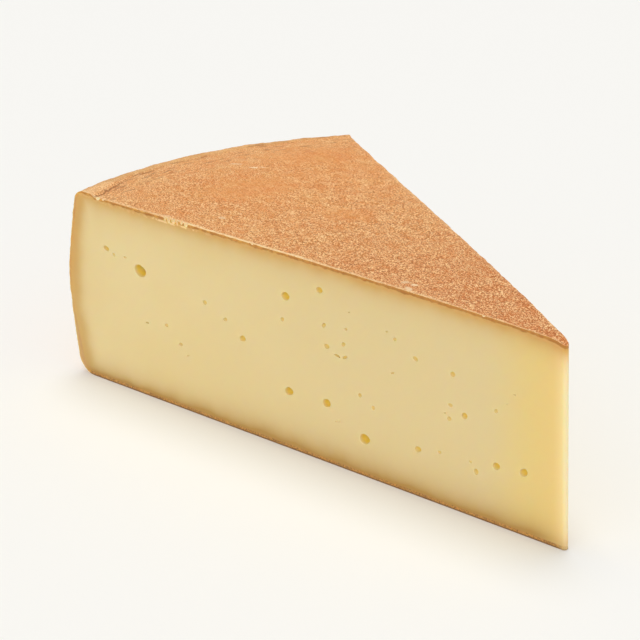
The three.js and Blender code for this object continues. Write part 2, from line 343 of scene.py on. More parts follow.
def section(name):
    """The cut face as a flat upright sheet with a rounded heel, divided into cells."""
    wheel, count = sizes(), steps()
    inner, outer = nose_start(), wheel.belly - wheel.draw_in
    heel, tip = axis_x() - outer, axis_x() - inner
    deselect()
    bpy.ops.mesh.primitive_plane_add(
        size=1, location=((tip + heel) / 2, 0, wheel.height / 2), rotation=(math.pi / 2, 0, 0))
    sheet = bpy.context.object
    sheet.name = name
    sheet.data.name = name
    bpy.ops.transform.resize(value=(outer - inner, 1, wheel.height))
    bpy.ops.object.transform_apply(location=True, rotation=True, scale=True)
    go_to("EDIT")
    for height, rounding in ((0, wheel.foot_round), (wheel.height, wheel.rim_round)):
        pick(sheet, "verts", lambda v: abs(v.co.x - heel) < 1e-6 and abs(v.co.z - height) < 1e-6)
        bpy.ops.mesh.bevel(affect="VERTICES", offset=rounding, segments=count.round)
    for place, value, parts in (
        (lambda co: co.x, heel, count.edge),
        (lambda co: co.z, wheel.height, count.top),
        (lambda co: co.z, 0, count.foot),
        (lambda co: co.x, tip, count.edge // 4),
    ):
        pick(sheet, "edges", lambda e: lies_on(e, place, value))
        bpy.ops.mesh.subdivide(number_cuts=parts - 1)
    for direction, low, high in (((1, 0, 0), heel, tip), ((0, 0, 1), 0, wheel.height)):
        cuts = round((high - low) / count.cell)
        for cut in range(1, cuts):
            bpy.ops.mesh.select_all(action="SELECT")
            place = Vector(direction) * (low + (high - low) * cut / cuts)
            bpy.ops.mesh.bisect(plane_co=place, plane_no=direction)
    go_to("OBJECT")
    return sheet


def belly_share(height):
    """How much of the belly's bulge is left at a height."""
    wheel = sizes()
    drop = wheel.draw_in if height > wheel.belly_height else wheel.draw_in_foot
    off = abs(height - wheel.belly_height) / belly_reach()
    return 1 - drop / wheel.draw_in * off ** wheel.edge_curve


def swell_belly(sheet):
    """Pushes the heel of the flat section out to its belly."""
    wheel = sizes()
    inner, outer = nose_start(), wheel.belly - wheel.draw_in
    set_mask(sheet, "belly", lambda v: belly_share(v.co.z) * (radius_at(v.co) - inner) / (outer - inner))
    displace(sheet, "belly", -wheel.draw_in, "X")


def turn_to_wedge(body):
    """Spins the section's outline to the far cut, closes both ends, and rounds the tip between them."""
    wheel, count = sizes(), steps()
    half = wheel.angle / 2
    axis = (axis_x(), 0, 0)
    inner = nose_start()
    tip = axis_x() - inner
    go_to("EDIT")
    pick(body, "edges", lambda e: e.is_boundary and not lies_on(e, lambda co: co.x, tip))
    bpy.ops.mesh.spin(steps=count.turn, angle=wheel.angle, center=axis, axis=(0, 0, 1))
    pick(body, "faces", lambda f: abs(f.normal.y) > 0.999 and all(abs(v.co.y) < 1e-7 for v in f.verts))
    bpy.ops.mesh.spin(dupli=True, steps=1, angle=wheel.angle, center=axis, axis=(0, 0, 1))
    go_to("OBJECT")
    turn = Matrix.Rotation(half, 4, "Z")
    place = Matrix.Translation(Vector(axis))
    body.data.transform(place @ turn @ place.inverted())

    def near_tip_edge(edge):
        first, second = edge.verts
        on_near_cut = max(first.co.y, second.co.y) < -inner * math.sin(half) * 0.98
        return lies_on(edge, radius_at, inner) and on_near_cut and abs(first.co.z - second.co.z) > 1e-6

    go_to("EDIT")
    pick(body, "edges", near_tip_edge)
    bpy.ops.mesh.spin(
        steps=count.nose, angle=-(math.pi - wheel.angle), center=(axis_x() - inner / math.cos(half), 0, 0),
        axis=(0, 0, 1))
    bpy.ops.mesh.select_all(action="SELECT")
    bpy.ops.mesh.remove_doubles(threshold=2e-6)
    bpy.ops.mesh.select_all(action="SELECT")
    bpy.ops.mesh.fill_holes(sides=0)
    bpy.ops.mesh.select_all(action="SELECT")
    bpy.ops.mesh.normals_make_consistent(inside=False)
    go_to("OBJECT")


def lean_tip(body):
    """Leans the tip's foot out inside a box cage, whose two foot corners at the tip are moved."""
    wheel = sizes()
    reach = top_reach() * math.cos(wheel.angle / 2)
    size = Vector((reach, CAD_HIGH.y - CAD_LOW.y, wheel.height))
    deselect()
    bpy.ops.object.add(type="LATTICE", location=(axis_x() - reach / 2, 0, wheel.height / 2))
    cage = bpy.context.object
    cage.scale = size
    shape = cage.data
    shape.interpolation_type_u = shape.interpolation_type_v = shape.interpolation_type_w = "KEY_LINEAR"
    for point in shape.points:
        if point.co.x > 0 > point.co.z:
            point.co_deform += Vector((wheel.lean_out / size.x, wheel.lean_across / size.y, 0))
    make_active(body)
    bend = body.modifiers.new("lean", "LATTICE")
    bend.object = cage
    bpy.ops.object.modifier_apply(modifier=bend.name)
    bpy.data.objects.remove(cage)


def sort_faces(body):
    """Gives each face its material slot: rind all round the wheel, paste on both cuts and the tip."""
    for face in body.data.polygons:
        upright = abs(face.normal.z) < 0.5
        on_tip = radius_at(face.center) < nose_start()
        flat = abs(abs(side_at(face.center)) - 1) < 1e-4
        face.material_index = PASTE if upright and (on_tip or flat) else RIND


def crease_at(point):
    """Radius of the crease, which bends inwards at the near cut."""
    press = relief()
    bend = 1 - smooth_step(-1, CREASE_BENT_TO, side_at(point))
    return press.crease_radius - press.crease_bend * bend


# Share of the crease's depth lost towards the far cut, and the radius at which the rim's bulge begins
CREASE_LOSS = 0.75
BULGE_START = 120 * MM


def shape_top(body):
    """Crown, droop, rim band and crease, each pressed into the skin through its own mask."""
    wheel, press = sizes(), relief()

    def level(point):
        return point.z / wheel.height

    def crown(vertex):
        out = min(radius_at(vertex.co) / wheel.belly, 1)
        return level(vertex.co) * math.sin(math.pi * out ** press.crown_lean)

    def droop(vertex):
        return level(vertex.co) * math.exp(-((radius_at(vertex.co) / press.droop_reach) ** 2))

    def band(vertex):
        crease = crease_at(vertex.co)
        start, end = crease - press.crease_width, crease + 2 * press.crease_width
        left = 1 + (press.band_far - 1) * (side_at(vertex.co) + 1) / 2
        return level(vertex.co) * left * smooth_step(start, end, radius_at(vertex.co))

    def crease(vertex):
        off = (radius_at(vertex.co) - crease_at(vertex.co)) / press.crease_width
        left = 1 - CREASE_LOSS * smooth_step(-0.7, 0.7, side_at(vertex.co))
        return level(vertex.co) * left * math.exp(-off * off)

    def rim_bulge(vertex):
        outward = smooth_step(BULGE_START, wheel.belly - wheel.draw_in, radius_at(vertex.co))
        return outward * max(1 - side_at(vertex.co) ** 2, 0)

    def rim_rise(vertex):
        return level(vertex.co) * rim_bulge(vertex)

    for name, weight, strength in (
        ("rim rise", rim_rise, press.rim_rise),
        ("crown", crown, press.crown),
        ("droop", droop, -press.droop),
        ("band", band, press.band),
        ("crease", crease, -press.crease),
        ("rim bulge", rim_bulge, -press.rim_bulge),
    ):
        set_mask(body, name, weight)
        displace(body, name, strength, "X" if name == "rim bulge" else "Z")


# Heights over the foot between which the rind's relief sets in
RELIEF_FROM, RELIEF_TO = 1.5 * MM, 6 * MM


def roughen_rind(body):
    """Swell, crumb and grain of the rind, which leave the foot flat."""
    press = relief()
    on_rind = set()
    for face in body.data.polygons:
        if face.material_index == RIND:
            on_rind.update(face.vertices)
    set_mask(
        body, "rind", lambda v: smooth_step(RELIEF_FROM, RELIEF_TO, v.co.z) if v.index in on_rind else 0)
    for texture, strength in (
        (cloud_texture("swell", 14 * MM, 1), press.swell),
        (cloud_texture("crumb", 2.6 * MM, 2), press.crumb),
        (cloud_texture("grain", 1.1 * MM, 1), press.grain),
    ):
        displace(body, "rind", strength, "NORMAL", texture)


class VACHERIN_OT_wedge(bpy.types.Operator):
    """Models the wedge: a cut face spun round the wheel's axis, then its tip, top and rind"""

    bl_idname = "vacherin.wedge"
    bl_label = "Wedge"

    def execute(self, context):
        body = section("vacherin_wedge")
        give_finishes(body, RIND)
        swell_belly(body)
        turn_to_wedge(body)
        sort_faces(body)
        shape_top(body)
        lean_tip(body)
        roughen_rind(body)
        return {"FINISHED"}


def on_cut(side, along, up):
    """A place on a cut, the way along it towards the tip, and the way out of it."""
    wheel = sizes()
    half = wheel.angle / 2
    towards_tip = Vector((math.cos(half), -side * math.sin(half), 0))
    outwards = Vector((math.sin(half), side * math.cos(half), 0))
    share = (1 - up / wheel.height) * (1 - along / top_reach())
    lean = Vector((wheel.lean_out, wheel.lean_across, 0)) * share
    place = Vector((axis_x(), 0, up)) - towards_tip * along + lean
    return place, towards_tip, outwards


# The eyes' punch, one unit in radius and depth: radius of its lip, steps of its bowl and lip, how far
# round the lip goes in degrees, how far the mouth flares out and up, and the height of its cap
EYE_LIP = 0.14
BOWL_STEPS, LIP_STEPS = 8, 4
LIP_TURN = 75
FLARE_OUT, FLARE_UP = 0.54, 0.25
CAP_HEIGHT = 0.05

# Radius of a punch as a share of its eye's listed length or width, its depth as a share of the eye's
# mean radius, and how uneven the eyes' outlines are
EYE_SPREAD = 0.54
EYE_DEPTH = 1.25
EYE_SKEW = 0.35 * MM


def punch_profile():
    """Radius and height of the punch's rings from its foot up: a bowl, a round lip, then the mouth."""
    rings = []
    for step in range(1, BOWL_STEPS + 1):
        turn = math.radians(90 * step / BOWL_STEPS)
        rings.append(((1 - EYE_LIP) * math.sin(turn), -EYE_LIP - (1 - EYE_LIP) * math.cos(turn)))
    for step in range(1, LIP_STEPS + 1):
        turn = math.radians(LIP_TURN * step / LIP_STEPS)
        rings.append((1 - EYE_LIP * math.cos(turn), EYE_LIP * (math.sin(turn) - 1)))
    rings.append((rings[-1][0] + FLARE_OUT, rings[-1][1] + FLARE_UP))
    return rings


def eye_punch():
    """A hollow one unit in radius and depth, as a closed solid that stands out over the cut."""
    rings = punch_profile()
    count = len(rings) + 1
    deselect()
    bpy.ops.mesh.primitive_uv_sphere_add(segments=24, ring_count=count, radius=1, location=(0, 0, 0))
    punch = bpy.context.object
    punch.name = "eye_punch"
    places = {vertex.index: vertex.co.z for vertex in punch.data.vertices}
    go_to("EDIT")
    for step, (radius, height) in enumerate(rings, 1):
        old_height = -math.cos(math.pi * step / count)
        pick(punch, "verts", lambda v: abs(places[v.index] - old_height) < 1e-4)
        wider = radius / math.sin(math.pi * step / count)
        bpy.ops.transform.resize(value=(wider, wider, 1), center_override=(0, 0, 0))
        bpy.ops.transform.translate(value=(0, 0, height - old_height))
    pick(punch, "verts", lambda v: places[v.index] > 0.999)
    bpy.ops.transform.translate(value=(0, 0, rings[-1][1] + CAP_HEIGHT - 1))
    go_to("OBJECT")
    give_finishes(punch, EYE)
    return punch


def place_punch(punch, side, eye):
    """A copy of the punch, squeezed, leaned and set so that its lip lies on the cut."""
    along, up, long, wide, lean = eye
    place, towards_tip, outwards = on_cut(side, along * MM, up * MM)
    turned = Matrix.Rotation(math.radians(lean), 3, outwards)
    long_way, wide_way = turned @ towards_tip, turned @ outwards.cross(towards_tip)
    depth = EYE_DEPTH * (long + wide) / 4 * MM
    copy = punch.copy()
    copy.data = punch.data.copy()
    bpy.context.collection.objects.link(copy)
    set_along(
        copy, place,
        (long_way * long * EYE_SPREAD * MM, wide_way * wide * EYE_SPREAD * MM, outwards * depth))
    return copy


FAR_EYE_COUNT = 26
FAR_EYE_SEED = 7

# How far the far eyes stay from foot and top, in millimetres, and twice as far from tip and edge
CLEAR_OF_RIND = 8

# The counting rule behind the far eyes, the same as in the solid
DRAW_FACTOR, DRAW_STEP, DRAW_RANGE = 1664525, 1013904223, 2 ** 32


def far_eyes():
    """Eyes of the far cut, many small and few large, at the same places as in the solid."""
    state = FAR_EYE_SEED
    eyes = []

    def draw(low, high, bias=1):
        nonlocal state
        state = (state * DRAW_FACTOR + DRAW_STEP) % DRAW_RANGE
        return low + (high - low) * (state / DRAW_RANGE) ** bias

    belly, height = sizes().belly / MM, sizes().height / MM
    while len(eyes) < FAR_EYE_COUNT:
        along = draw(2 * CLEAR_OF_RIND, belly - 2 * CLEAR_OF_RIND)
        up = draw(CLEAR_OF_RIND, height - CLEAR_OF_RIND)
        long = draw(1.5, 4.8, 3)
        wide = long * draw(0.7, 0.95)
        lean = draw(-30, 60)
        if all(math.hypot(other[0] - along, other[1] - up) > other[2] + long for other in eyes):
            eyes.append((along, up, long, wide, lean))
    return eyes


def join(pieces, name):
    deselect()
    for piece in pieces:
        piece.select_set(True)
    bpy.context.view_layer.objects.active = pieces[0]
    bpy.ops.object.join()
    joined = bpy.context.object
    joined.name = name
    return joined


def carve(body, tool):
    make_active(body)
    cut = body.modifiers.new("carve", "BOOLEAN")
    cut.object = tool
    cut.operation = "DIFFERENCE"
    cut.solver = "MANIFOLD"
    bpy.ops.object.modifier_apply(modifier=cut.name)
    bpy.data.objects.remove(tool)


class VACHERIN_OT_eyes(bpy.types.Operator):
    """Takes the eyes out of both cuts"""

    bl_idname = "vacherin.eyes"
    bl_label = "Eyes"

    def execute(self, context):
        body = bpy.data.objects["vacherin_wedge"]
        punch = eye_punch()
        eyes = [(-1, eye) for eye in NEAR_EYES + NEAR_PITS] + [(1, eye) for eye in far_eyes()]
        copies = [place_punch(punch, side, eye) for side, eye in eyes]
        bpy.data.objects.remove(punch)
        punches = join(copies, "eye_punches")
        set_mask(punches, "skew", lambda vertex: 1)
        for direction, size in (("Y", 1.8 * MM), ("Z", 2.1 * MM)):
            displace(punches, "skew", EYE_SKEW, direction, cloud_texture("skew", size, 0))
        carve(body, punches)
        return {"FINISHED"}


# How far a chip reaches into the cut, as a share of its depth from the top, and how rough it is
CHIP_SPREAD = 0.8
CHIP_ROUGHNESS = 0.5 * MM


def chip_punch(along, long, deep):
    """A small rough lump that stands over the near cut's top edge."""
    wheel, press = sizes(), relief()
    share = along * MM / wheel.belly
    top = wheel.height + press.crown * math.sin(math.pi * share ** press.crown_lean)
    if along * MM > press.crease_radius - press.crease_bend:
        top += press.band
    place, towards_tip, outwards = on_cut(-1, along * MM, top)
    deselect()
    bpy.ops.mesh.primitive_ico_sphere_add(subdivisions=3, radius=1, location=(0, 0, 0))
    lump = bpy.context.object
    upwards = Vector((0, 0, 1))
    set_along(
        lump, place,
        (towards_tip * long / 2 * MM, upwards * deep * MM, outwards * deep * CHIP_SPREAD * MM))
    set_mask(lump, "rough", lambda vertex: 1)
    displace(lump, "rough", CHIP_ROUGHNESS, "NORMAL", cloud_texture("rough", 0.6 * MM, 1))
    give_finishes(lump, CHIP)
    return lump


class VACHERIN_OT_chips(bpy.types.Operator):
    """Crumbles the near cut's top edge in a few places"""

    bl_idname = "vacherin.chips"
    bl_label = "Chips"

    def execute(self, context):
        lumps = [chip_punch(*chip) for chip in CHIPS]
        carve(bpy.data.objects["vacherin_wedge"], join(lumps, "chip_punches"))
        return {"FINISHED"}


def node(tree, kind, inputs=None, **settings):
    """Adds a node, sets it up, and fills or links its inputs."""
    made = tree.nodes.new(kind)
    for name, value in settings.items():
        setattr(made, name, value)
    for name, value in (inputs or {}).items():
        if isinstance(value, bpy.types.NodeSocket):
            tree.links.new(value, made.inputs[name])
        else:
            made.inputs[name].default_value = value
    return made


def calc(tree, operation, *values):
    return node(tree, "ShaderNodeMath", dict(enumerate(values)), operation=operation).outputs[0]


def times(tree, value, *factors):
    """The product of two or more values."""
    for factor in factors:
        value = calc(tree, "MULTIPLY", value, factor)
    return value


def plus(tree, first, second):
    return calc(tree, "ADD", first, second)


def less(tree, first, second):
    return calc(tree, "SUBTRACT", first, second)


def ramp(tree, value, start, end, low=0.0, high=1.0):
    """A smooth step from low to high as the value goes from start to end."""
    made = node(
        tree, "ShaderNodeMapRange",
        {"Value": value, "From Min": start, "From Max": end, "To Min": low, "To Max": high},
        interpolation_type="SMOOTHSTEP")
    return made.outputs["Result"]


def span(tree, value, start, end, low=0.0, high=1.0):
    """The same step between two lengths in millimetres."""
    return ramp(tree, value, start * MM, end * MM, low, high)


def tinted(colour, *shares):
    """A colour with its red, green and blue scaled."""
    return [channel * share for channel, share in zip(colour, shares)]


def mix(tree, share, first, second):
    """The first colour turning into the second one as the share goes from 0 to 1."""
    first, second = (
        colour if isinstance(colour, bpy.types.NodeSocket) else (*colour, 1) for colour in (first, second))
    return node(tree, "ShaderNodeMix", {0: share, 6: first, 7: second}, data_type="RGBA").outputs[2]


def noise(tree, place, grain, detail=2.0, rough=0.5, twist=0.0):
    """Noise from 0 to 1 with features of a size in metres."""
    made = node(
        tree, "ShaderNodeTexNoise",
        {"Vector": place, "Scale": 1 / grain, "Detail": detail, "Roughness": rough, "Distortion": twist})
    return made.outputs["Fac"]


def waver(tree, place, grain, amount, detail=2.0, rough=0.5):
    """Noise that swings to and fro about 0."""
    return times(tree, less(tree, noise(tree, place, grain, detail, rough), 0.5), amount)


def new_group(name, inputs, outputs):
    """A node group with named sockets, and its input and output nodes."""
    tree = bpy.data.node_groups.new(name, "ShaderNodeTree")
    for label, kind, default in inputs:
        socket = tree.interface.new_socket(label, in_out="INPUT", socket_type=kind)
        if default is not None:
            socket.default_value = default
    for label in outputs:
        tree.interface.new_socket(label, in_out="OUTPUT", socket_type="NodeSocketFloat")
    return tree, tree.nodes.new("NodeGroupInput"), tree.nodes.new("NodeGroupOutput")


def use_group(tree, group, **inputs):
    labelled = {name.capitalize(): value for name, value in inputs.items()}
    return node(tree, "ShaderNodeGroup", labelled, node_tree=group).outputs


def depth_group():
    """Where a place lies: its radius and side, how deep it lies under edge, top and cuts, how high over
    the foot, and how far outside the crease and inside the tip's end, all but the side in metres."""
    wheel, press = sizes(), relief()
    half = wheel.angle / 2
    tree, entry, out = new_group(
        "rind_depths", [("Place", "NodeSocketVector", None)],
        ("Radius", "Side", "Heel", "Top", "Foot", "Cut", "Crease", "Tip"))
    x, y, z = node(tree, "ShaderNodeSeparateXYZ", {0: entry.outputs["Place"]}).outputs

    def distance(first, second):
        return calc(tree, "SQRT", plus(tree, times(tree, first, first), times(tree, second, second)))

    radius = distance(x, y)
    side = calc(tree, "DIVIDE", calc(tree, "ARCTAN2", y, times(tree, x, -1)), half)

    # The edge's radius at this height
    off = calc(tree, "DIVIDE", calc(tree, "ABSOLUTE", less(tree, z, wheel.belly_height)), belly_reach())
    is_above = calc(tree, "GREATER_THAN", z, wheel.belly_height)
    drop = plus(tree, times(tree, is_above, wheel.draw_in - wheel.draw_in_foot), wheel.draw_in_foot)
    edge = less(tree, wheel.belly, times(tree, calc(tree, "POWER", off, wheel.edge_curve), drop))

    # The top's height at this radius
    out_share = calc(tree, "DIVIDE", radius, wheel.belly)
    bow = times(tree, calc(tree, "POWER", out_share, press.crown_lean), math.pi)
    crown = times(tree, calc(tree, "SINE", bow), press.crown)
    fall = calc(tree, "DIVIDE", radius, press.droop_reach)
    droop = times(tree, calc(tree, "EXPONENT", times(tree, fall, fall, -1)), press.droop)
    crease = press.crease_radius - press.crease_bend
    band = ramp(tree, radius, crease - press.crease_width, crease + 2 * press.crease_width, 0, press.band)
    top = plus(tree, less(tree, crown, droop), plus(tree, band, wheel.height))

    # The place as it was before the tip leaned
    towards_tip = less(tree, 1, calc(tree, "DIVIDE", radius, top_reach()))
    share = times(tree, less(tree, 1, calc(tree, "DIVIDE", z, wheel.height)), towards_tip)
    plumb_x = less(tree, x, times(tree, share, wheel.lean_out))
    plumb_y = calc(tree, "ABSOLUTE", less(tree, y, times(tree, share, wheel.lean_across)))
    cut = less(tree, times(tree, plumb_x, -math.sin(half)), times(tree, plumb_y, math.cos(half)))
    tip_end = wheel.nose / math.sin(half) - wheel.nose

    bend = ramp(tree, side, -1, CREASE_BENT_TO, press.crease_bend, 0)
    for name, value in (
        ("Radius", radius), ("Side", side), ("Heel", less(tree, edge, radius)),
        ("Top", less(tree, top, z)), ("Foot", z), ("Cut", cut),
        ("Crease", less(tree, radius, less(tree, press.crease_radius, bend))),
        ("Tip", less(tree, distance(plumb_x, plumb_y), tip_end)),
    ):
        tree.links.new(value, out.inputs[name])
    return tree


def grain_group():
    """Fine mottling of a rind: light flecks, dark specks and their height."""
    tree, entry, out = new_group(
        "rind_grain",
        [("Place", "NodeSocketVector", None), ("Size", "NodeSocketFloat", 1 * MM),
         ("Amount", "NodeSocketFloat", 1)],
        ("Light", "Dark", "Height"))
    place = node(
        tree, "ShaderNodeVectorMath",
        {0: entry.outputs["Place"], "Scale": calc(tree, "DIVIDE", 1, entry.outputs["Size"])},
        operation="SCALE").outputs[0]
    fine = noise(tree, place, 1, 3, 0.75, 0.2)
    cells = node(tree, "ShaderNodeTexVoronoi", {"Vector": place, "Scale": 0.8}).outputs["Distance"]
    cluster = noise(tree, place, 1 / 0.13, 2, 0.6)
    rough_zone = times(tree, ramp(tree, cluster, 0.35, 0.55, 0.75, 1), entry.outputs["Amount"])
    shifted = plus(tree, fine, times(tree, less(tree, cluster, 0.5), 0.12))
    for name, value in (
        ("Light", ramp(tree, shifted, 0.52, 0.565)),
        ("Dark", ramp(tree, shifted, 0.48, 0.43)),
        ("Height", less(tree, fine, times(tree, cells, 0.35))),
    ):
        tree.links.new(times(tree, value, rough_zone), out.inputs[name])
    return tree


def start_material(name):
    """A material with its shader, and the place on the cheese measured from the wheel's axis."""
    material = bpy.data.materials.new(name)
    material.use_nodes = True
    tree = material.node_tree
    shader = tree.nodes["Principled BSDF"]
    where = node(tree, "ShaderNodeTexCoord").outputs["Object"]
    place = node(tree, "ShaderNodeMapping", {"Vector": where, "Location": (-axis_x(), 0, 0)}).outputs[0]
    return tree, shader, place


def finish_shader(tree, shader, colour, height, bump, bump_depth, **constants):
    """Links colour and bumps to the shader, and sets its other inputs."""
    tree.links.new(colour, shader.inputs["Base Color"])
    bumps = node(tree, "ShaderNodeBump", {"Strength": bump, "Distance": bump_depth, "Height": height})
    tree.links.new(bumps.outputs[0], shader.inputs["Normal"])
    for name, value in constants.items():
        shader.inputs[name.replace("_", " ")].default_value = value


def spot(tree, place, x, y, long, wide, turn):
    """1 inside a small ragged oval on the rind, fading to 0 at its edge; its sizes in millimetres."""
    centre = Matrix.Rotation(math.radians(-turn), 3, "Z") @ Vector((x, y, 0))
    turned = node(
        tree, "ShaderNodeMapping",
        {"Vector": place, "Rotation": (0, 0, math.radians(-turn)), "Location": -centre * MM}).outputs[0]
    scaled = node(
        tree, "ShaderNodeVectorMath", {0: turned, 1: (1 / long / MM, 1 / wide / MM, 0)},
        operation="MULTIPLY").outputs[0]
    away = node(tree, "ShaderNodeVectorMath", {0: scaled}, operation="LENGTH").outputs["Value"]
    return ramp(tree, plus(tree, away, waver(tree, place, 1.5 * MM, 1.6, 3, 0.7)), 1.1, 0.5)


def rind_ground(tree, place, depth, grain):
    """Slow patches, a duller middle of the wheel, light flecks and dark specks, band and rim."""
    paint = colours()
    patches = noise(tree, place, 11 * MM, 3, 0.6)
    colour = mix(tree, ramp(tree, patches, 0.38, 0.52), tinted(paint.rind, 0.98, 0.91, 0.84), paint.rind)
    colour = mix(tree, ramp(tree, patches, 0.52, 0.68), colour, tinted(paint.rind, 1, 1.08, 1.15))
    inner = span(tree, depth["Radius"], 125, 35)
    colour = mix(tree, inner, colour, tinted(paint.rind, 0.86, 0.67, 0.56))
    calm = 0
    for patch in SMOOTH_PATCHES:
        calm = calc(tree, "MAXIMUM", spot(tree, place, *patch), calm)
    rough = less(tree, 1, times(tree, calm, 0.38))
    colour = mix(tree, times(tree, grain["Light"], rough), colour, paint.rind_light)
    colour = mix(tree, times(tree, grain["Dark"], rough, 0.85), colour, paint.rind_dark)
    band = calc(
        tree, "MAXIMUM", span(tree, depth["Crease"], -22, -2, 0, 0.12),
        span(tree, depth["Crease"], 0.5, 2.5, 0, 0.42))
    colour = mix(tree, band, colour, paint.rind_light)
    rim = span(tree, depth["Heel"], 4, 1.5)
    return mix(tree, times(tree, rim, ramp(tree, patches, 0.35, 0.65, 0.6, 0.3)), colour, paint.rim)


def rind_folds(tree, place, depth, colour):
    """Adds dark wrinkles beside the crease, and the crease's dark line towards the near cut."""
    dark = colours().rind_dark
    round_rim = node(
        tree, "ShaderNodeCombineXYZ",
        {0: depth["Radius"], 1: times(tree, depth["Side"], 9 * MM)}).outputs[0]
    wrinkle = times(
        tree, ramp(tree, noise(tree, round_rim, 1.3 * MM, 2, 0.6), 0.55, 0.66),
        span(tree, depth["Crease"], -16, -3), span(tree, depth["Crease"], 4, 1), 0.6)
    colour = mix(tree, wrinkle, colour, dark)
    off_fold = calc(tree, "ABSOLUTE", plus(tree, depth["Crease"], waver(tree, place, 2 * MM, 2.6 * MM)))
    fold = times(
        tree, span(tree, off_fold, 0.7, 0.15), ramp(tree, depth["Side"], -0.55, -0.85, 0, 0.85))
    return mix(tree, fold, colour, dark)


def rind_wear(tree, place, depth, colour):
    """Adds the pale rubbed marks, and the worn edge along the near cut, palest half way along it."""
    paint, radius = colours(), depth["Radius"]
    for *oval, pale in SCRATCHES:
        colour = mix(tree, times(tree, spot(tree, place, *oval), pale), colour, paint.scratch)
    width = span(tree, radius, 5, 80, 0.8 * MM, 1.5 * MM)
    middle = calc(
        tree, "MINIMUM", span(tree, radius, 80, 105, 0.6, 1),
        span(tree, radius, 140, 165, 1, 0.5))
    worn = times(
        tree, ramp(tree, calc(tree, "DIVIDE", depth["Cut"], width), 1, 0.5),
        ramp(tree, noise(tree, place, 2.5 * MM, 3, 0.6), 0.36, 0.56, 0.35, 0.95),
        middle, span(tree, radius, 5, 35, 0.6, 1),
        ramp(tree, depth["Side"], 0.3, -0.3, 0.2, 1))
    return mix(tree, worn, colour, tinted(paint.rind_light, 1, 1.06, 1.15))


def rind_material(name, depths, grains):
    tree, shader, place = start_material(name)
    depth = use_group(tree, depths, place=place)
    amount = calc(
        tree, "MAXIMUM", ramp(tree, depth["Side"], 0.3, -0.8, 0.72, 0.95),
        span(tree, depth["Radius"], 165, 100, 0.7, 1.08))
    grain = use_group(tree, grains, place=place, size=0.5 * MM, amount=amount)
    colour = rind_folds(tree, place, depth, rind_ground(tree, place, depth, grain))
    tree.links.new(ramp(tree, noise(tree, place, 2 * MM), 0.3, 0.7, 0.5, 0.66), shader.inputs["Roughness"])
    finish_shader(
        tree, shader, rind_wear(tree, place, depth, colour), grain["Height"], 0.7, 0.35 * MM,
        Subsurface_Weight=0.05, Subsurface_Radius=(1.0, 0.5, 0.25), Subsurface_Scale=0.5 * MM,
        Specular_IOR_Level=0.3)


def paste_ground(tree, place, depth, low, low_heel):
    """Pale paste, tan towards the rind, darker over the foot partly as painted shade, with a painted glow
    and highlight at the thin tip.
    """
    paint, radius = colours(), depth["Radius"]
    slow = ramp(tree, noise(tree, place, 30 * MM, 2, 0.5), 0.35, 0.65)
    colour = mix(tree, slow, paint.paste, tinted(paint.paste, 0.985, 0.97, 0.93))
    # After the inner paste, these colours are painted light: the glow through the thin tip and the
    # highlight on its end
    for measure, start, end, tone in (
        (radius, 170, 60, paint.inner_paste),
        (radius, 32, 10, paint.tip_golden_glow),
        (depth["Tip"], 4.5, -1, paint.tip_glow),
        (depth["Tip"], 1, 0, paint.tip_end),
    ):
        colour = mix(tree, span(tree, measure, start, end), colour, tone)
    wobble = waver(tree, place, 9 * MM, 2.5 * MM)

    def fade(measure, start, reach, power=1):
        """1 up to the start, then falling off over the reach."""
        past = calc(tree, "MAXIMUM", less(tree, plus(tree, measure, wobble), start), 0)
        drop = calc(tree, "POWER", calc(tree, "DIVIDE", past, reach), power)
        return calc(tree, "EXPONENT", times(tree, drop, -1))

    tan = calc(
        tree, "MAXIMUM", fade(low_heel, 2 * MM, 3.9 * MM, 2), fade(depth["Top"], 1.5 * MM, 2.9 * MM))
    tan_colour = mix(
        tree, low, tinted(paint.under_rind, 0.98, 1, 0.98), tinted(paint.under_rind, 0.98, 1.08, 1.2))
    colour = mix(tree, tan, colour, tan_colour)
    # Darker over the foot: partly the paste's own colour, partly painted shade, reaching higher towards the
    # tip and fading at the tip itself
    foot_reach = span(tree, radius, 180, 90, 2.4 * MM, 3.6 * MM)
    off_tip = span(tree, radius, 2, 12, 0.45, 1)
    over_foot_and_shade = times(tree, fade(depth["Foot"], 2 * MM, foot_reach), off_tip)
    return mix(tree, over_foot_and_shade, colour, paint.over_foot_and_shade)


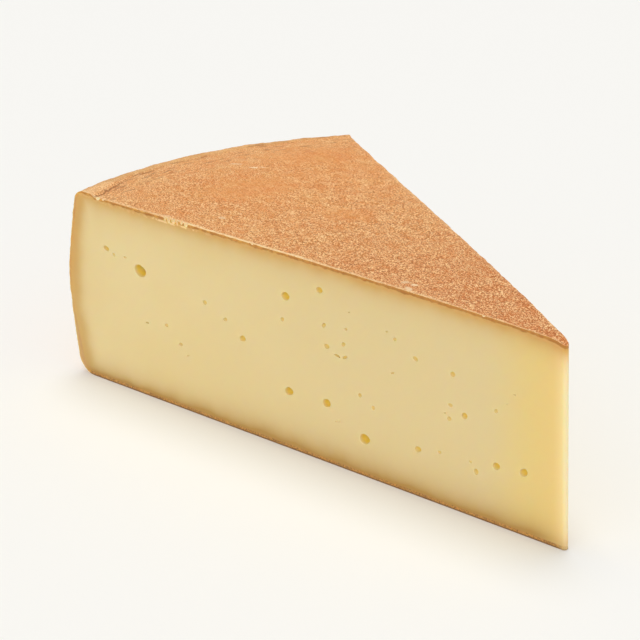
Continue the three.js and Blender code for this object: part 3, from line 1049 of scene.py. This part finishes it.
def cut_lines(tree, place, depth, grain, low, low_heel, colour):
    """Adds the rind where it is cut through, as a line along heel, top and foot."""
    paint, radius = colours(), depth["Radius"]
    heel = mix(
        tree, low, tinted(paint.cut_heel, 0.96, 0.92, 0.95), tinted(paint.cut_heel, 0.98, 1.14, 1.5))
    colour = mix(tree, span(tree, low_heel, 1.2, 0.5), colour, heel)

    # The top's line, golden in patches, with light crumbs below it where the edge crumbles
    patchy = times(
        tree, ramp(tree, noise(tree, place, 1.8 * MM, 3, 0.6), 0.42, 0.62),
        span(tree, radius, 60, 150, 0.3, 0.85))
    golden = mix(tree, patchy, paint.cut_rind, tinted(paint.cut_rind, 1.5, 1.75, 2.2))
    under_top = plus(tree, depth["Top"], waver(tree, place, 2.2 * MM, 1.2 * MM))
    colour = mix(tree, span(tree, under_top, 1.05, 0.65), colour, golden)
    off_line = calc(tree, "ABSOLUTE", less(tree, under_top, 1.4 * MM))
    crumbs = times(
        tree, ramp(tree, noise(tree, place, 1.6 * MM, 2), 0.43, 0.58),
        span(tree, off_line, 0.45, 0.15),
        span(tree, radius, 132, 146, 0.05, 0.7), span(tree, radius, 156, 166, 1, 0.25))
    colour = mix(tree, crumbs, colour, paint.crumb)

    # The foot's line and below it the darkest bottom edge, which holds painted contact shadow, both worn at
    # the tip
    worn_toe = span(tree, depth["Tip"], 0.3, 3.5, 0.3, 1)
    foot_colour = mix(
        tree, times(tree, grain["Light"], 0.55), paint.cut_foot, tinted(paint.cut_foot, 1.6, 1.6, 1.6))
    foot_colour = mix(tree, times(tree, grain["Dark"], 0.7), foot_colour, paint.sole_and_contact_shadow)
    foot = times(tree, span(tree, depth["Foot"], 1.5, 1), worn_toe)
    colour = mix(tree, foot, colour, foot_colour)
    # Painted contact shadow along the lowest line of the cut, laid over the dark rind there
    sole_and_contact_shadow = times(tree, span(tree, depth["Foot"], 0.6, 0.3), worn_toe)
    return mix(tree, sole_and_contact_shadow, colour, paint.sole_and_contact_shadow)


def paste_material(name, depths, grains):
    tree, shader, place = start_material(name)
    depth = use_group(tree, depths, place=place)
    grain = use_group(tree, grains, place=place, size=0.6 * MM, amount=1)
    low = times(
        tree, span(tree, depth["Foot"], 50, 15), span(tree, depth["Heel"], 20, 10))
    low_heel = less(tree, depth["Heel"], span(tree, depth["Foot"], 26, 6, 0, 1.3 * MM))
    colour = paste_ground(tree, place, depth, low, low_heel)
    finish_shader(
        tree, shader, cut_lines(tree, place, depth, grain, low, low_heel, colour),
        noise(tree, place, 1.5 * MM, 3, 0.6), 0.12, 0.25 * MM,
        Roughness=0.5, Subsurface_Weight=1.0, Subsurface_Radius=(1.0, 0.7, 0.35),
        Subsurface_Scale=5 * MM, Specular_IOR_Level=0.35)


def eye_material(name, depths, grains):
    tree, shader, place = start_material(name)
    paint = colours()
    depth = use_group(tree, depths, place=place)["Cut"]
    # Golden further into the eye as painted light through the paste, then darker still deep inside as
    # painted shade in the hollow
    colour = mix(tree, span(tree, depth, 0, 1.6), paint.paste, paint.eye)
    deep = span(tree, depth, 1.4, 3)
    colour = mix(tree, deep, colour, tinted(paint.eye, 0.68, 0.63, 0.45))
    finish_shader(
        tree, shader, colour, noise(tree, place, 0.7 * MM), 0.1, 0.1 * MM,
        Roughness=0.4, Subsurface_Weight=0.4, Subsurface_Radius=(1.0, 0.6, 0.2),
        Subsurface_Scale=1 * MM, Specular_IOR_Level=0.4)


def chip_material(name, depths, grains):
    tree, shader, place = start_material(name)
    colour = mix(tree, noise(tree, place, 0.6 * MM), colours().chip, colours().chip_dark)
    finish_shader(
        tree, shader, colour, noise(tree, place, 0.5 * MM), 0.5, 0.2 * MM,
        Roughness=0.6, Subsurface_Weight=0.5, Subsurface_Radius=(1.0, 0.55, 0.2), Subsurface_Scale=2 * MM)


class VACHERIN_OT_finishes(bpy.types.Operator):
    """Mixes the finishes of rind, paste, eyes and crumbled edge"""

    bl_idname = "vacherin.finishes"
    bl_label = "Finishes"

    def execute(self, context):
        depths, grains = depth_group(), grain_group()
        for name, build in zip(FINISHES, (rind_material, paste_material, eye_material, chip_material)):
            build(name, depths, grains)
        return {"FINISHED"}


# How squarely a face looks along a cut's own direction to be shaded flat
FLAT_LIMIT = 0.997


class VACHERIN_OT_place(bpy.types.Operator):
    """Smooths the wedge's shading and sets it in the frame"""

    bl_idname = "vacherin.place"
    bl_label = "Place"

    def execute(self, context):
        body = bpy.data.objects["vacherin_wedge"]
        make_active(body)
        bpy.ops.object.shade_smooth_by_angle(angle=math.radians(40))
        cuts = [on_cut(side, 0, 0)[2] for side in (-1, 1)]

        def is_flat(face):
            return face.material_index == PASTE and max(face.normal.dot(cut) for cut in cuts) > FLAT_LIMIT

        go_to("EDIT")
        pick(body, "faces", is_flat)
        bpy.ops.mesh.faces_shade_flat()
        go_to("OBJECT")
        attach(body, "root")
        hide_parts(NODE)
        return {"FINISHED"}


# Suns: heading from +X towards +Y, elevation and width, all in degrees, power, and whether they cast
# shadows
SUNS = {
    "key": (155, 76, 30, 1.12, True),
    "fill": (-62, 35, 60, 1.19, False),
    "rim": (40, 15, 20, 0.35, False),
}
SKY_STRENGTH = 0.45

# The camera: lens in millimetres, heading from -Y towards +X and elevation in degrees, and its place
# from the wheel's axis in millimetres
CAMERA_LENS = 122.33
CAMERA_HEADING, CAMERA_ELEVATION = 56.06, 23.01
CAMERA_PLACE = (410.32, -359.54, 301.53)


def direction(heading, elevation):
    """A unit vector with its heading counted from +X towards +Y, both angles in degrees."""
    heading, elevation = math.radians(heading), math.radians(elevation)
    return Vector((
        math.cos(heading) * math.cos(elevation), math.sin(heading) * math.cos(elevation),
        math.sin(elevation)))


def sun(name, heading, elevation, width, power, shadow):
    light = bpy.data.lights.new(name, "SUN")
    light.angle = math.radians(width)
    light.energy = power
    light.use_shadow = shadow
    lamp = bpy.data.objects.new(name, light)
    bpy.context.collection.objects.link(lamp)
    lamp.location = direction(heading, elevation)
    lamp.rotation_euler = lamp.location.to_track_quat("Z", "Y").to_euler()


class VACHERIN_OT_stage(bpy.types.Operator):
    """Sets the pale table, the soft light and the camera"""

    bl_idname = "vacherin.stage"
    bl_label = "Stage"

    def execute(self, context):
        deselect()
        bpy.ops.mesh.primitive_plane_add(size=8, location=(0, 0, -0.02 * MM))
        table = bpy.context.object
        table.name = "table"
        material = bpy.data.materials.new("pale table")
        material.use_nodes = True
        shader = material.node_tree.nodes["Principled BSDF"]
        shader.inputs["Base Color"].default_value = (*colours().table, 1)
        shader.inputs["Roughness"].default_value = 0.9
        shader.inputs["Specular IOR Level"].default_value = 0.1
        table.data.materials.append(material)

        world = bpy.data.worlds.new("studio")
        world.use_nodes = True
        sky = world.node_tree.nodes["Background"]
        sky.inputs["Color"].default_value = (1, 1, 1, 1)
        sky.inputs["Strength"].default_value = SKY_STRENGTH
        context.scene.world = world
        for name, settings in SUNS.items():
            sun(name, *settings)

        camera = bpy.data.cameras.new("camera")
        camera.sensor_width = 36
        camera.lens = CAMERA_LENS
        camera.clip_start, camera.clip_end = 0.01, 20
        viewer = bpy.data.objects.new("camera", camera)
        context.collection.objects.link(viewer)
        x, y, z = CAMERA_PLACE
        viewer.location = (axis_x() + x * MM, y * MM, z * MM)
        towards = -direction(CAMERA_HEADING - 90, CAMERA_ELEVATION)
        viewer.rotation_euler = towards.to_track_quat("-Z", "Y").to_euler()
        context.scene.camera = viewer
        context.scene.view_settings.view_transform = "Standard"
        return {"FINISHED"}


class VACHERIN_PT_panel(bpy.types.Panel):
    """Lists the wedge's sizes and the steps that make it."""

    bl_idname = "VACHERIN_PT_panel"
    bl_label = "Vacherin wedge"
    bl_space_type = "VIEW_3D"
    bl_region_type = "UI"
    bl_category = "Vacherin"

    def draw(self, context):
        layout = self.layout
        for group in ("vacherin_wheel", "vacherin_relief", "vacherin_steps", "vacherin_colours"):
            owner = getattr(context.scene, group)
            box = layout.box()
            for name in owner.__annotations__:
                box.prop(owner, name)
        for operator in (
            "vacherin.finishes", "vacherin.wedge", "vacherin.eyes", "vacherin.chips", "vacherin.place",
            "vacherin.stage",
        ):
            layout.operator(operator)


GROUPS = {
    "vacherin_wheel": WheelSizes,
    "vacherin_relief": ReliefSizes,
    "vacherin_steps": MeshSteps,
    "vacherin_colours": FinishColours,
}
CLASSES = (
    *GROUPS.values(), VACHERIN_OT_finishes, VACHERIN_OT_wedge, VACHERIN_OT_eyes, VACHERIN_OT_chips,
    VACHERIN_OT_place, VACHERIN_OT_stage, VACHERIN_PT_panel)


def register():
    for item in CLASSES:
        bpy.utils.register_class(item)
    for name, group in GROUPS.items():
        setattr(bpy.types.Scene, name, PointerProperty(type=group))


def unregister():
    for name in GROUPS:
        delattr(bpy.types.Scene, name)
    for item in reversed(CLASSES):
        bpy.utils.unregister_class(item)


def main():
    register()
    bpy.ops.vacherin.finishes()
    bpy.ops.vacherin.wedge()
    bpy.ops.vacherin.eyes()
    bpy.ops.vacherin.chips()
    bpy.ops.vacherin.place()
    bpy.ops.vacherin.stage()


if __name__ == "__main__":
    main()
